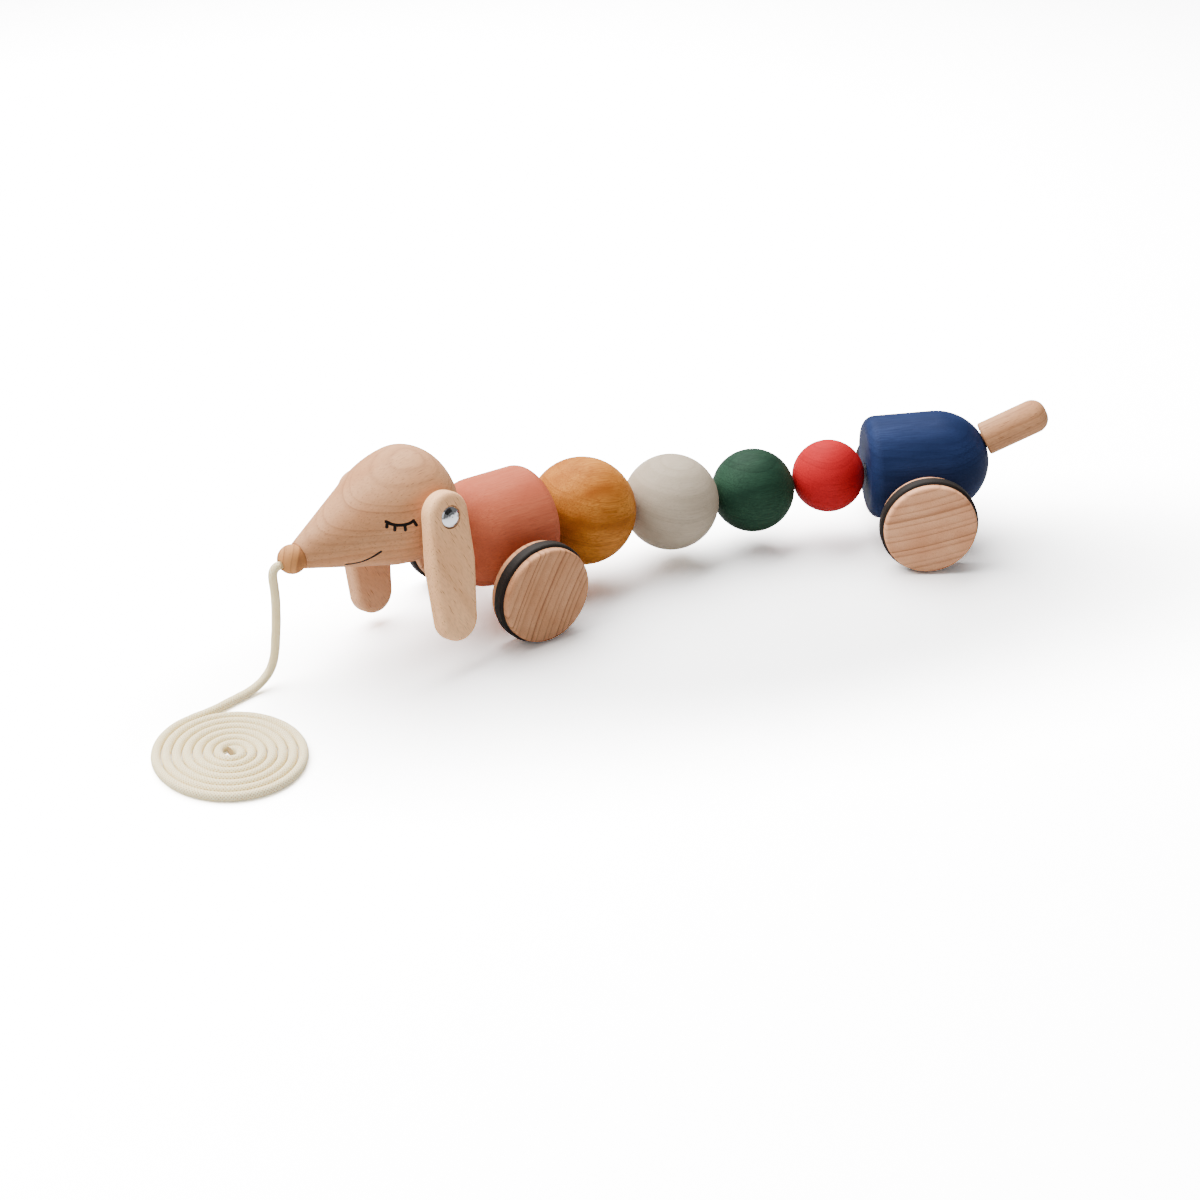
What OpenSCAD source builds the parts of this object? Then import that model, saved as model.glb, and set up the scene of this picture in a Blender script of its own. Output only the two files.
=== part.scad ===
// Wheeled pull toy: a wooden sausage dog strung on an elastic cord.
// Millimetres, +Z up. The origin lies on the floor under the middle of the front axle.
// The dog looks towards -X and its left side is towards -Y.

/* [Bodies] */
// Diameter of the front and rear body blanks
body_d = 44; // [40:0.5:48]
// Length of the front body, flat face to dome
front_len = 45.5; // [45:0.5:50]
// Length of the rear body, flat face to dome
rear_len = 52.8; // [52:0.2:60]
// Length of the front body's domed end
front_dome_len = 20; // [19:0.5:21]
// Length of the rear body's domed end
rear_dome_len = 22.8; // [21.8:0.2:24]
// Rounding round a body's flat face
face_round = 5.5; // [4:0.5:9]
// Height of the front body's axis above its axle
axle_drop = 15; // [14:0.5:16]
// Height of the rear body's axis above its axle
rear_drop = 13.5; // [12:0.25:14]
// Front axle to the front body's flat face
front_axle_set = 20; // [19:0.5:21]
// Rear axle to the rear body's flat face
rear_axle_set = 21.2; // [19.6:0.2:22.4]
// Knot chamber beyond the axle
knot_beyond_axle = 11; // [10.5:0.25:11.5]

/* [Wheels] */
// Diameter of a wheel's wooden rim
wheel_d = 38.8; // [37.6:0.2:41]
// Thickness of a wheel
wheel_t = 12; // [10:0.5:13]
// Edge rounding of a wheel
wheel_edge = 1.2; // [0.8:0.1:2]
// Toy's middle to a wheel's middle
half_track = 32.7; // [32:0.1:36]
// Width of the rubber ring's section
ring_w = 5.6; // [4.6:0.1:6.4]
// Thickness of the rubber ring's section
ring_t = 2.8; // [2.4:0.1:3.4]
// Height that the rubber ring stands proud of the rim
ring_proud = 1.2; // [0.8:0.05:1.4]
// Diameter of an axle dowel
axle_d = 8; // [6:0.5:8]
// Depth of a wheel's blind hole
axle_grip = 8; // [6:0.5:8.5]

/* [Beads] */
// Diameter of the mustard bead
mustard_d = 44.5; // [42:0.5:47]
// Diameter of the grey bead
grey_d = 40.5; // [38:0.5:42]
// Diameter of the green bead
green_d = 35.5; // [33:0.5:38]
// Diameter of the red bead
red_d = 31; // [29:0.5:33]
// Diameter of the elastic cord
elastic_d = 3; // [2:0.25:3.5]

/* [Head] */
// Greatest diameter of the head
head_d = 45; // [43:0.5:46]
// Head's widest section to its rear
head_back = 17.7; // [16:0.1:18]
// Length of the oval that starts the muzzle
head_front = 34; // [31:0.5:36]
// Head's widest section to the nose bead's centre
nose_reach = 55; // [53:0.5:58]
// Radius that the muzzle tapers to at the nose bead's centre
snout_r = 4; // [3.6:0.1:4.4]
// Diameter of the nose bead
nose_d = 11.2; // [10.4:0.1:11.6]
// Diameter of the neck peg
neck_d = 8; // [6:0.5:8]
// Dome's centre to the head's centre along the neck peg
neck_reach = 40.4; // [40.4:0.2:42]

/* [Ears] */
// Length of an ear
ear_len = 58.8; // [54:0.4:59.2]
// Top of an ear to its pin
ear_pin_set = 9.5; // [9:0.1:11]
// Greatest width of an ear
ear_w = 20.4; // [18.6:0.2:20.6]
// Thickness of an ear
ear_t = 8; // [7:0.25:8.25]
// Edge rounding of an ear
ear_edge = 1.8; // [1:0.1:2.5]
// Diameter of an ear pin's domed head
pin_head_d = 8.6; // [7:0.2:8.8]
// Diameter of an ear pin's shank
pin_d = 4; // [3:0.25:4.5]
// Thickness of the washer behind an ear
washer_t = 1.2; // [0.8:0.1:1.6]

/* [Tail] */
// Diameter of the tail dowel
tail_d = 14.4; // [12:0.2:15]
// Length of the tail dowel
tail_len = 28.5; // [25:0.5:33]
// Rise of the tail above the rear body's axis
tail_angle = 22.4; // [18:0.2:25]
// Diameter of the tail's hidden peg
tail_peg_d = 6; // [4:0.5:7]

/* [Pull cord] */
// Diameter of the cotton cord
cord_d = 3.1; // [2.8:0.1:3.1]
// Step of the flat coil from one turn to the next
coil_step = 3.6; // [3.6:0.05:4]
// Turns in the flat coil
coil_turns = 7; // [5:0.1:7]

/* [Pose] */
// Heading of the front body, from the X axis
front_heading = 16.7; // [14:0.1:19]
// Heading of the mustard bead's stretch
mustard_heading = 11.7; // [10:0.1:14]
// Heading of the grey bead's stretch
grey_heading = 6.7; // [5:0.1:7]
// Heading of the green bead's stretch
green_heading = -4.4; // [-5:0.1:-2.5]
// Heading of the red bead's stretch
red_heading = -15.5; // [-16:0.1:-13]
// Heading of the rear body
rear_heading = -17.5; // [-19:0.1:-14]
// Rise of the rear body towards the tail
rear_rise = 4.1; // [3:0.1:6]
// Sag of the cord behind the mustard bead
mustard_sag = 7.2; // [5:0.2:8]
// Sag of the cord behind the grey bead
grey_sag = 11.2; // [8:0.2:11.4]
// Sag of the cord behind the green bead
green_sag = 9.2; // [6:0.2:9.4]
// Rise of the neck peg above the front body's axis
neck_angle = 34; // [32:0.5:36]
// Droop of the muzzle below the front body's axis
head_droop = 7; // [6:0.5:10]
// Turn of the head about the neck peg
head_turn = 11; // [9:0.5:12]
// Lean of the ears from plumb, towards the nose
ear_lean = 2.5; // [0:0.25:3]

/* [Hidden] */
$fn = 96;

// Colours, as in the photograph
beech = "#dcb690";
terracotta = "#bf6f5c";
navy = "#22355c";
rubber = "#26221f";
chrome = "#c9cbcf";
cotton = "#ece4d6";
elastic = "#3b3732";
nylon = "#efe9dc";

// Clearances
shaft_gap = 0.2;    // round a turning shaft
bore_gap = 0.3;     // round a cord in a bore
touch_gap = 0.15;   // least gap of two beads at the sharpest bend
rub_gap = 0.3;      // between an ear and its washer
peg_gap = 0.1;      // round the neck peg in the head
kink = 15;          // sharpest angle between two stretches of the cord
knot_d = 7;         // knot of the elastic cord
chamber_d = 9.5;    // chamber that the knot is pushed into
chamber_top = 4;    // chamber above the body's axis
plug_t = 9;         // height of the plug above the body's lowest line

// Wheel stance
axle_h = wheel_d / 2 + ring_proud;
ring_r = axle_h - ring_t / 2;
axle_len = 2 * (half_track - wheel_t / 2 + axle_grip);

function unit(v) = v / norm(v);
function polar(r, a) = [r * cos(a), r * sin(a)];
// Direction of a heading a and a rise b
function heading(a, b = 0) = [cos(a) * cos(b), sin(a) * cos(b), sin(b)];
// Point p of a frame that rises by b towards its +X and is then turned to heading a
function placed(p, a, b = 0) = let(x = p.x * cos(b) - p.z * sin(b), z = p.x * sin(b) + p.z * cos(b))
  [x * cos(a) - p.y * sin(a), x * sin(a) + p.y * cos(a), z];

// Gap that two beads need so that they stay apart at the sharpest bend
function ball_gap(a, b) = touch_gap + a * b / (a + b) * (1 - cos(kink));
// The same for a bead against a body's flat face
function face_gap(a) = touch_gap + a * (1 - cos(kink));

bead_r = [mustard_d, grey_d, green_d, red_d] / 2;
gaps = [
  face_gap(bead_r[0]), ball_gap(bead_r[0], bead_r[1]), ball_gap(bead_r[1], bead_r[2]),
  ball_gap(bead_r[2], bead_r[3]), face_gap(bead_r[3])
];
reach = [for (i = [0:3]) 2 * bead_r[i] + gaps[i] / 2 + gaps[i + 1] / 2];
headings = [mustard_heading, grey_heading, green_heading, red_heading];

// Pivots of the chain, from the front body's flat face to the rear body's
pivot_0 = [0, 0, axle_h] + placed([front_axle_set + gaps[0] / 2, 0, axle_drop], front_heading);
rear_pivot_z = axle_h + placed([-rear_axle_set - gaps[4] / 2, 0, rear_drop], rear_heading, rear_rise).z;
pivot_z = [
  pivot_0.z, pivot_0.z - mustard_sag, pivot_0.z - grey_sag, pivot_0.z - green_sag, rear_pivot_z
];
function run(i) = sqrt(pow(reach[i], 2) - pow(pivot_z[i + 1] - pivot_z[i], 2));
function pivot(i) = i == 0 ? pivot_0 :
  [for (p = [pivot(i - 1)]) [p.x, p.y, pivot_z[i]] + run(i - 1) * heading(headings[i - 1])][0];
function rise(i) = asin((pivot_z[i + 1] - pivot_z[i]) / reach[i]);
rear_axle_at = pivot(4)
  - placed([-rear_axle_set - gaps[4] / 2, 0, rear_drop], rear_heading, rear_rise);

// The head's frame: +X to the nose, +Y to the dog's left, +Z to its crown
neck_base = [front_axle_set - (front_len - front_dome_len), 0, axle_drop];
neck_dir = [-cos(neck_angle), 0, sin(neck_angle)];
neck_foot = 12;                  // dome's centre to the peg's lower end
neck_short = 7.5;                // peg's upper end short of the head's centre
neck_tip = neck_reach - neck_short;

// Turns v about the unit vector k by a
function spun(v, k, a) = v * cos(a) + cross(k, v) * sin(a) + k * (k * v) * (1 - cos(a));
function head_vec(v) = placed(
  spun([-v.x * cos(head_droop) - v.z * sin(head_droop), -v.y,
        -v.x * sin(head_droop) + v.z * cos(head_droop)], neck_dir, head_turn), front_heading);
head_at = [0, 0, axle_h] + placed(neck_base + neck_dir * neck_reach, front_heading);
function head_pt(p) = head_at + head_vec(p);

// The muzzle runs straight from the oval to the nose: where it leaves the oval
muzzle_u = [nose_reach / head_front, 2 * snout_r / head_d];
muzzle_a = atan2(muzzle_u.y, muzzle_u.x) + acos(1 / norm(muzzle_u));
muzzle_start = [head_front * cos(muzzle_a), head_d / 2 * sin(muzzle_a)];
muzzle_end = nose_reach - 3;
muzzle_slope = (muzzle_start.y - snout_r) / (nose_reach - muzzle_start.x);
muzzle_r = snout_r + muzzle_slope * (nose_reach - muzzle_end);
nose_bore_d = cord_d + 2 * bore_gap + 0.1;
nose_knot_set = 8.6;             // pull cord's knot behind the nose bead's centre
nose_knot = nose_reach - nose_knot_set;
nose_knot_d = 6.4;
cord_exit = nose_reach + nose_d / 2 + 0.5;

// Ears hang nearly plumb on pins through the head's sides
ear_set = 3.1;                   // pins ahead of the head's widest section
ear_seat = head_d / 2 - 0.9;     // spot face in the head's side
ear_in = ear_seat + washer_t + rub_gap;
ear_out = ear_in + ear_t;
pin_recess = 2;                  // depth of the pin head's seat
pin_depth = 10;                  // shank's end from the head's axis
washer_d = 12.4;
down = [head_vec([1, 0, 0]).z, head_vec([0, 0, 1]).z];
ear_hang = atan2(down.x, down.y) - ear_lean;

// Tail dowel on the dome
tail_base = rear_len - rear_dome_len; // dome's centre from the flat face
tail_seat = norm([rear_dome_len * cos(tail_angle), body_d / 2 * sin(tail_angle)]);
tail_round = 6;                  // rounding of the tail's tip
tail_peg_grip = 10;

// Hand-chosen points of the pull cord between the nose and the coil
cord_points = [
  [-95.2, -36.9, 49.9], [-95.6, -37.1, 47.6], [-95.4, -37, 44], [-95.2, -36.8, 39], [-95.3, -36.2, 33],
  [-95.5, -35.2, 27], [-95.9, -34, 21], [-96.3, -32.9, 15.5], [-97.2, -32.2, 10.5], [-98.9, -32.4, 6.6],
  [-101.9, -33.9, 3.8], [-105.5, -35.8, 2.2], [-109.4, -38, 1.6], [-113.5, -40.4, 1.55],
  [-117.7, -42.9, 1.55], [-121.6, -45.2, 1.55]
];
cord_side = [0.42, -0.91, 0];    // level direction across the route
coil_at = [-122.2, -78.4];
coil_r = 27;                     // cord's middle at the outer turn
coil_oval = 1.13;                // the coil lies a little longer one way
coil_oval_dir = 102;             // bearing of its longer way, degrees
coil_start = 108;                // bearing where the coil starts, degrees
coil_rings = 24;                 // rings in each turn
coil_z = cord_d / 2;

// Points of the flat oval spiral, after a straight lead of one diameter
function oval(q, e) = q + (coil_oval - 1) * (q * e) * e;
function coil_pt(t) = concat(coil_at + oval(polar(coil_r - coil_step * t / 360, coil_start + t),
  polar(1, coil_oval_dir)), [coil_z]);
coil_dir = unit(coil_pt(2) - coil_pt(0));
coil_lead = coil_pt(0) - cord_d * coil_dir;
coil_path = concat([coil_lead],
  [for (k = [0:round(coil_turns * coil_rings)]) coil_pt(k * 360 / coil_rings)]);

// Whole free stretch: straight out of the nose bead, and square on to the coil's straight lead
cord_route = concat([head_pt([cord_exit, 0, 0]), head_pt([cord_exit + 0.4 * cord_d, 0, 0])], cord_points,
  [coil_lead - cord_d * coil_dir, coil_lead]);

// Least gap between neighbouring turns, measured on the path's points
coil_n = len(coil_path);
coil_gap = min([for (i = [1:coil_n - 1]) for (j = [i + 12:1:coil_n - 1])
  norm(coil_path[i] - coil_path[j])]) - cord_d;
echo(coil_gap = coil_gap);

// Direction of a path at point i
function path_dir(p, i) = unit(p[min(i + 1, len(p) - 1)] - p[max(i - 1, 0)]);
// Ring of n corners round point i, level with the direction across
function path_ring(p, i, r, n, across) = let(d = path_dir(p, i),
  s = unit(across(d) - d * (across(d) * d)), u = cross(d, s))
  [for (k = [0:n - 1]) p[i] + r * (cos(360 * k / n) * s + sin(360 * k / n) * u)];

// Tube of n sides swept along a path
module tube(p, r, n, across) {
  m = len(p);
  pts = concat([for (i = [0:m - 1]) each path_ring(p, i, r, n, across)], [p[0]], [p[m - 1]]);
  sides = [for (i = [0:m - 2]) for (k = [0:n - 1]) let(a = i * n + k, b = i * n + (k + 1) % n)
    each [[a, b + n, b], [a, a + n, b + n]]];
  ends = [for (k = [0:n - 1]) let(q = (k + 1) % n)
    each [[m * n, k, q], [m * n + 1, (m - 1) * n + q, (m - 1) * n + k]]];
  polyhedron(points = pts, faces = concat(sides, ends), convexity = 20);
}

// Frames that carry the pieces
module in_front_body() translate([0, 0, axle_h]) rotate([0, 0, front_heading]) children();
module in_rear_body() translate(rear_axle_at) rotate([0, -rear_rise, rear_heading]) children();
module in_stretch(i) translate(pivot(i)) rotate([0, -rise(i), headings[i]]) children();
module in_head() in_front_body() translate(neck_base) rotate(head_turn, neck_dir)
  translate(neck_dir * neck_reach) rotate([0, head_droop, 180]) children();
module in_tail() in_rear_body() translate([tail_base - rear_axle_set, 0, rear_drop])
  rotate([0, -tail_angle, 0]) children();
// side is 1 for the dog's left and -1 for its right
module in_ear(side) in_head() translate([ear_set, 0, 0]) rotate([0, ear_hang, 0])
  rotate([side > 0 ? -90 : 90, 0, 0]) children();

// Round piece along +X, from radius and distance pairs
module turned(profile) rotate([0, 90, 0]) rotate_extrude() polygon(profile);
module rod(d, x0, x1) translate([x0, 0, 0]) rotate([0, 90, 0]) cylinder(d = d, h = x1 - x0);

// Body blank with its flat face at the origin and its dome towards +X
module blank(len, dome) {
  r = body_d / 2;
  turned(concat([[0, 0]],
    [for (a = [0:15:90]) [r - face_round + face_round * sin(a), face_round - face_round * cos(a)]],
    [for (a = [0:5:90]) [a == 90 ? 0 : r * cos(a), len - dome + dome * sin(a)]]));
}
// What is drilled in a blank: bore for the elastic cord, knot chamber and its plug's hole
module knot_hole(set) translate([set, 0, -body_d / 2])
  cylinder(d = chamber_d, h = body_d / 2 + chamber_top);
module string_bore(set) rod(elastic_d + 2 * bore_gap, -1, set);
module axle_bore() rotate([90, 0, 0])
  cylinder(d = axle_d + 2 * shaft_gap, h = 2 * body_d, center = true);

module along_neck() rotate([0, neck_angle - 180, 0]) children();
module front_blank() translate([front_axle_set, 0, axle_drop]) rotate([0, 0, 180]) children();
module rear_blank() translate([-rear_axle_set, 0, rear_drop]) children();
front_knot_set = front_axle_set + knot_beyond_axle;
rear_knot_set = rear_axle_set + knot_beyond_axle;

module front_body() color(terracotta) in_front_body() difference() {
  front_blank() blank(front_len, front_dome_len);
  front_blank() string_bore(front_knot_set);
  front_blank() knot_hole(front_knot_set);
  axle_bore();
  translate(neck_base) along_neck() rod(neck_d, neck_foot, neck_tip);
}

module rear_body() color(navy) difference() {
  in_rear_body() rear_blank() blank(rear_len, rear_dome_len);
  in_rear_body() rear_blank() string_bore(rear_knot_set);
  in_rear_body() rear_blank() knot_hole(rear_knot_set);
  in_rear_body() axle_bore();
  in_tail() rod(tail_peg_d, tail_seat - tail_peg_grip, tail_seat + 1);
}

// Plug that closes a knot chamber, flush with the curved skin
module plug(len, dome, set) intersection() {
  blank(len, dome);
  translate([set, 0, -body_d / 2 - 1]) cylinder(d = chamber_d, h = plug_t + 1);
}
module front_plug() color(terracotta) in_front_body() front_blank()
  plug(front_len, front_dome_len, front_knot_set);
module rear_plug() color(navy) in_rear_body() rear_blank()
  plug(rear_len, rear_dome_len, rear_knot_set);

// Elastic cord: one stretch in each body and each bead, and a knot at each end
cord_end = 0.3;  // stretch's end from the pivot
module knot() sphere(d = knot_d);
module knot_at(set) translate([set, 0, 0]) knot();
module front_knot() color(elastic) in_front_body() front_blank() knot_at(front_knot_set);
module rear_knot() color(elastic) in_rear_body() rear_blank() knot_at(rear_knot_set);
module body_cord(set, gap) difference() {
  rod(elastic_d, cord_end - gap / 2, set);
  knot_at(set);
}
module front_cord() color(elastic) in_front_body() front_blank() body_cord(front_knot_set, gaps[0]);
module rear_cord() color(elastic) in_rear_body() rear_blank() body_cord(rear_knot_set, gaps[4]);
module stretch(i) color(elastic) in_stretch(i) rod(elastic_d, cord_end, reach[i] - cord_end);

// Ball with a bore, both about the X axis
module bored_ball(d, bore) rotate([0, 90, 0]) difference() {
  sphere(d = d);
  cylinder(d = bore, h = 2 * d, center = true);
}
module bead(i) in_stretch(i) translate([gaps[i] / 2 + bead_r[i], 0, 0])
  bored_ball(2 * bead_r[i], elastic_d + 2 * bore_gap);

// Head: oval behind, straight taper to the muzzle
function head_profile() = let(r = head_d / 2) concat(
  [for (a = [-90:6:0]) [a == -90 ? 0 : r * cos(a), head_back * sin(a)]],
  [for (k = [1:8]) let(a = (90 - muzzle_a) * k / 8) [r * cos(a), head_front * sin(a)]],
  [[muzzle_r, muzzle_end], [0, muzzle_end]]);
module head() color(beech) in_head() difference() {
  turned(head_profile());
  translate([nose_reach, 0, 0]) sphere(d = nose_d);
  rod(nose_knot_d + 0.8, nose_knot - nose_knot_d / 2 - 0.4, nose_reach);
  for (s = [-1, 1]) translate([ear_set, 0, 0]) rotate([-90 * s, 0, 0]) {
    translate([0, 0, ear_seat]) cylinder(d = washer_d + 0.6, h = body_d);
    translate([0, 0, pin_depth]) cylinder(d = pin_d, h = body_d);
  }
  rotate([0, -head_droop - neck_angle, 0])
    rod(neck_d + 2 * peg_gap, -neck_reach, neck_tip - neck_reach + peg_gap);
}
module neck_peg() color(beech) in_front_body() translate(neck_base)
  along_neck() rod(neck_d, neck_foot, neck_tip);

module nose_bead() color("#d0a27a") in_head() translate([nose_reach, 0, 0])
  bored_ball(nose_d, nose_bore_d);

// Ear slat: three rounded discs joined, the widest a third up from the bottom
module pebble(r) rotate_extrude($fn = 32) polygon(concat([[0, 0]],
  [for (a = [0:30:90]) [r - ear_edge + ear_edge * sin(a), ear_edge - ear_edge * cos(a)]],
  [for (a = [0:30:90]) [r - ear_edge + ear_edge * cos(a), ear_t - ear_edge + ear_edge * sin(a)]],
  [[0, ear_t]]));
ear_top_r = 9;
ear_tip_r = 8.6;
module ear(side) color(beech) in_ear(side) difference() {
  // +Y is down here on the left ear and up on the right one
  hull() {
    translate([0, side * (ear_top_r - ear_pin_set), ear_in]) pebble(ear_top_r);
    translate([0, side * (ear_len - ear_pin_set) * 0.38, ear_in]) pebble(ear_w / 2);
    translate([0, side * (ear_len - ear_pin_set - ear_tip_r), ear_in]) pebble(ear_tip_r);
  }
  cylinder(d = pin_d + 2 * shaft_gap, h = 3 * ear_out);
  translate([0, 0, ear_out - pin_recess]) cylinder(d = pin_head_d + 2 * shaft_gap, h = ear_t);
}
module left_ear() ear(1);
module right_ear() ear(-1);

// Domed pins, driven into the head's sides
module pin() {
  head_r = pin_head_d / 2;
  seat = ear_out - pin_recess + shaft_gap;
  translate([0, 0, pin_depth]) cylinder(d = pin_d, h = seat - pin_depth);
  rotate_extrude() polygon(concat([[0, seat], [head_r, seat]],
    [for (a = [0:15:90]) [a == 90 ? 0 : head_r * cos(a), seat + 1 + 1.7 * sin(a)]]));
}
module ear_pins() color(chrome) for (s = [-1, 1]) in_ear(s) pin();
module washer() translate([0, 0, ear_seat]) difference() {
  cylinder(d = washer_d, h = washer_t);
  cylinder(d = pin_d, h = 3 * washer_t, center = true);
}
module ear_washers() color(nylon) for (s = [-1, 1]) in_ear(s) washer();

// Wheels: a turned disc with a groove, and a flattish rubber ring in it
module across_axle(side) rotate([side > 0 ? 90 : -90, 0, 0]) translate([0, 0, half_track]) children();
module ring() rotate_extrude() polygon([for (s = [1, -1]) for (a = [-90:15:90])
  [ring_r + s * ring_t / 2 * sin(a), s * (ring_w - ring_t + ring_t * cos(a)) / 2]]);
module wheel(side) color(beech) across_axle(side) difference() {
  rotate_extrude() polygon(concat([[0, -wheel_t / 2]],
    [for (a = [-90:15:0]) [wheel_d / 2 - wheel_edge + wheel_edge * cos(a),
      wheel_edge - wheel_t / 2 + wheel_edge * sin(a)]],
    [for (a = [0:15:90]) [wheel_d / 2 - wheel_edge + wheel_edge * cos(a),
      wheel_t / 2 - wheel_edge + wheel_edge * sin(a)]],
    [[0, wheel_t / 2]]));
  ring();
  translate([0, 0, -wheel_t]) cylinder(d = axle_d, h = wheel_t / 2 + axle_grip);
}
module tyre(side) color(rubber) across_axle(side) ring();
module axle() color(beech) rotate([90, 0, 0]) cylinder(d = axle_d, h = axle_len, center = true);
module tail() color(beech) in_tail() translate([tail_seat, 0, 0]) difference() {
  turned(concat([[0, 0], [tail_d / 2 - 0.6, 0], [tail_d / 2, 0.6]],
    [for (a = [0:15:90]) [tail_d / 2 - tail_round + tail_round * cos(a),
      tail_len - tail_round + tail_round * sin(a)]],
    [[0, tail_len]]));
  rod(tail_peg_d, -1, tail_peg_grip);
}
module tail_peg() color(beech) in_tail()
  rod(tail_peg_d, tail_seat - tail_peg_grip, tail_seat + tail_peg_grip);

// The cord's knot in the muzzle, with the short run from it through the nose bead
knot_neck = acos(cord_d / nose_knot_d);  // where the run leaves the knot's round
module pull_cord_knot() color(cotton) in_head() turned(concat(
  [for (k = [0:10]) let(a = -90 + (90 + knot_neck) * k / 10)
    [k == 0 ? 0 : nose_knot_d / 2 * cos(a), nose_knot + nose_knot_d / 2 * sin(a)]],
  [[cord_d / 2, cord_exit], [0, cord_exit]]));
module pull_cord() color(cotton) tube(cord_route, cord_d / 2, 8, function(d) cord_side);
module pull_cord_coil() color(cotton) tube(coil_path, cord_d / 2, 6, function(d) [d.y, -d.x, 0]);

front_body();
rear_body();
head();
nose_bead();
neck_peg();
left_ear();
right_ear();
ear_pins();
ear_washers();
in_front_body() axle();  // front_axle
in_rear_body() axle();  // rear_axle
in_front_body() wheel(1);  // front_left_wheel
in_front_body() wheel(-1);  // front_right_wheel
in_rear_body() wheel(1);  // rear_left_wheel
in_rear_body() wheel(-1);  // rear_right_wheel
in_front_body() tyre(1);  // front_left_tyre
in_front_body() tyre(-1);  // front_right_tyre
in_rear_body() tyre(1);  // rear_left_tyre
in_rear_body() tyre(-1);  // rear_right_tyre
color("#c08a33") bead(0);  // mustard_bead
color("#c9c4bb") bead(1);  // grey_bead
color("#2f5244") bead(2);  // green_bead
color("#c43a34") bead(3);  // red_bead
stretch(0);  // mustard_cord
stretch(1);  // grey_cord
stretch(2);  // green_cord
stretch(3);  // red_cord
front_cord();
rear_cord();
front_knot();
rear_knot();
front_plug();
rear_plug();
tail();
tail_peg();
pull_cord();
pull_cord_coil();
pull_cord_knot();
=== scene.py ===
"""Wheeled pull toy: a wooden sausage dog whose bodies and beads hang on an elastic cord."""
from math import acos, asin, atan2, cos, degrees, pi, radians, sin, sqrt

import bmesh
import bpy
from mathutils import Matrix, Vector


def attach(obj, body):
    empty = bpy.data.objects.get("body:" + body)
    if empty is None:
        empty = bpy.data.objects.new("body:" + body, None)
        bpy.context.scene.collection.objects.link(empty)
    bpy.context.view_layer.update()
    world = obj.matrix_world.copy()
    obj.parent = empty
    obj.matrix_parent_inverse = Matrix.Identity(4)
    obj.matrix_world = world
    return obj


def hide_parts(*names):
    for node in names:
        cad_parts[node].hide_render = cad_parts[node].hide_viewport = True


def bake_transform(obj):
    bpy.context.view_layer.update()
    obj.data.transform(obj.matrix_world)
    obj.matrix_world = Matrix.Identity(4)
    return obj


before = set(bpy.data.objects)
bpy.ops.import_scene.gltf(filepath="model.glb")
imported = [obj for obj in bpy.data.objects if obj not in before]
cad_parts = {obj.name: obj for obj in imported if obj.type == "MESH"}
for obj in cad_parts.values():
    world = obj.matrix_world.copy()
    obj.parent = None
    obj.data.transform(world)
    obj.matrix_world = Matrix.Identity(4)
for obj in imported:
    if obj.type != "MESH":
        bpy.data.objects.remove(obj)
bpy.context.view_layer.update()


# Camera
# It looks at the toy's left front side from a little above, through a long lens,
# and keeps the whole dog and the coil in a square frame.
MM = 0.001
view_from = Vector((-207.6, -691.6, 378.4)) * MM
view_east, view_north, view_down = 0.3437, 0.939, radians(27.5)
view_dir = Vector((view_east * cos(view_down), view_north * cos(view_down), -sin(view_down)))


def put(name, data):
    """Adds an object with this data to the scene."""
    made = bpy.data.objects.new(name, data)
    bpy.context.scene.collection.objects.link(made)
    return made


camera = put("studio_camera", bpy.data.cameras.new("studio_camera"))
camera.data.sensor_width = 36
camera.data.lens = 60
camera.data.clip_start = 0.05
camera.location = view_from
camera.rotation_euler = view_dir.to_track_quat("-Z", "Y").to_euler()
bpy.context.scene.camera = camera


# Pull cord
# Braided cotton cord, 3.5 mm thick. It is knotted inside the muzzle, comes out of the
# nose bead, hangs to the floor and lies there as a flat coil with a bare inner end.
cord_d, cord_stub, cord_step = 3.5 * MM, 1.24 * MM, 0.55 * MM
nose_out = Vector((-0.908255, -0.403184, -0.111876))
cord_exit = Vector((-92.8428, -35.8396, 51.3557)) * MM
cord_points = [cord_exit, cord_exit + cord_stub * nose_out] + [Vector(p) * MM for p in (
    (-95.2, -36.9, 49.9), (-95.6, -37.1, 47.6), (-95.4, -37, 44), (-95.2, -36.8, 39),
    (-95.3, -36.2, 33), (-95.5, -35.2, 27), (-95.9, -34, 21), (-96.3, -32.9, 15.5),
    (-97.2, -32.2, 10.5), (-98.9, -32.4, 6.7), (-101.9, -33.9, 4), (-105.5, -35.8, 2.4),
    (-109.4, -38, 1.8), (-113.5, -40.4, 1.75), (-117.7, -42.9, 1.75), (-121.6, -45.2, 1.75))]
coil_at = Vector((-122.2, -78.4, 1.75)) * MM
coil_r, coil_start, coil_step, coil_turns = 27 * MM, radians(108), 3.6 * MM, 7
coil_oval, coil_heading = 1.13, radians(102)
coil_long = Vector((cos(coil_heading), sin(coil_heading), 0))
coil_lead, coil_nudge, points_a_turn = 3.1 * MM, 0.004, 24


def coil_point(turn):
    """Point of the flat oval spiral after so many turns."""
    angle = coil_start + 2 * pi * turn
    reach = (coil_r - coil_step * turn) * Vector((cos(angle), sin(angle), 0))
    return coil_at + reach + (coil_oval - 1) * reach.dot(coil_long) * coil_long


def smooth_line(points, step):
    """Smooth curve through the points, in steps of about one length."""
    line = []
    ends = [points[0] * 2 - points[1]] + points + [points[-1] * 2 - points[-2]]
    for a, b, c, d in zip(ends, ends[1:], ends[2:], ends[3:]):
        count = max(2, round((c - b).length / step))
        for k in range(count):
            t = k / count
            line.append(0.5 * (2 * b + (c - a) * t + (2 * a - 5 * b + 4 * c - d) * t ** 2
                               + (3 * b - a - 3 * c + d) * t ** 3))
    return line + [points[-1]]


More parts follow.
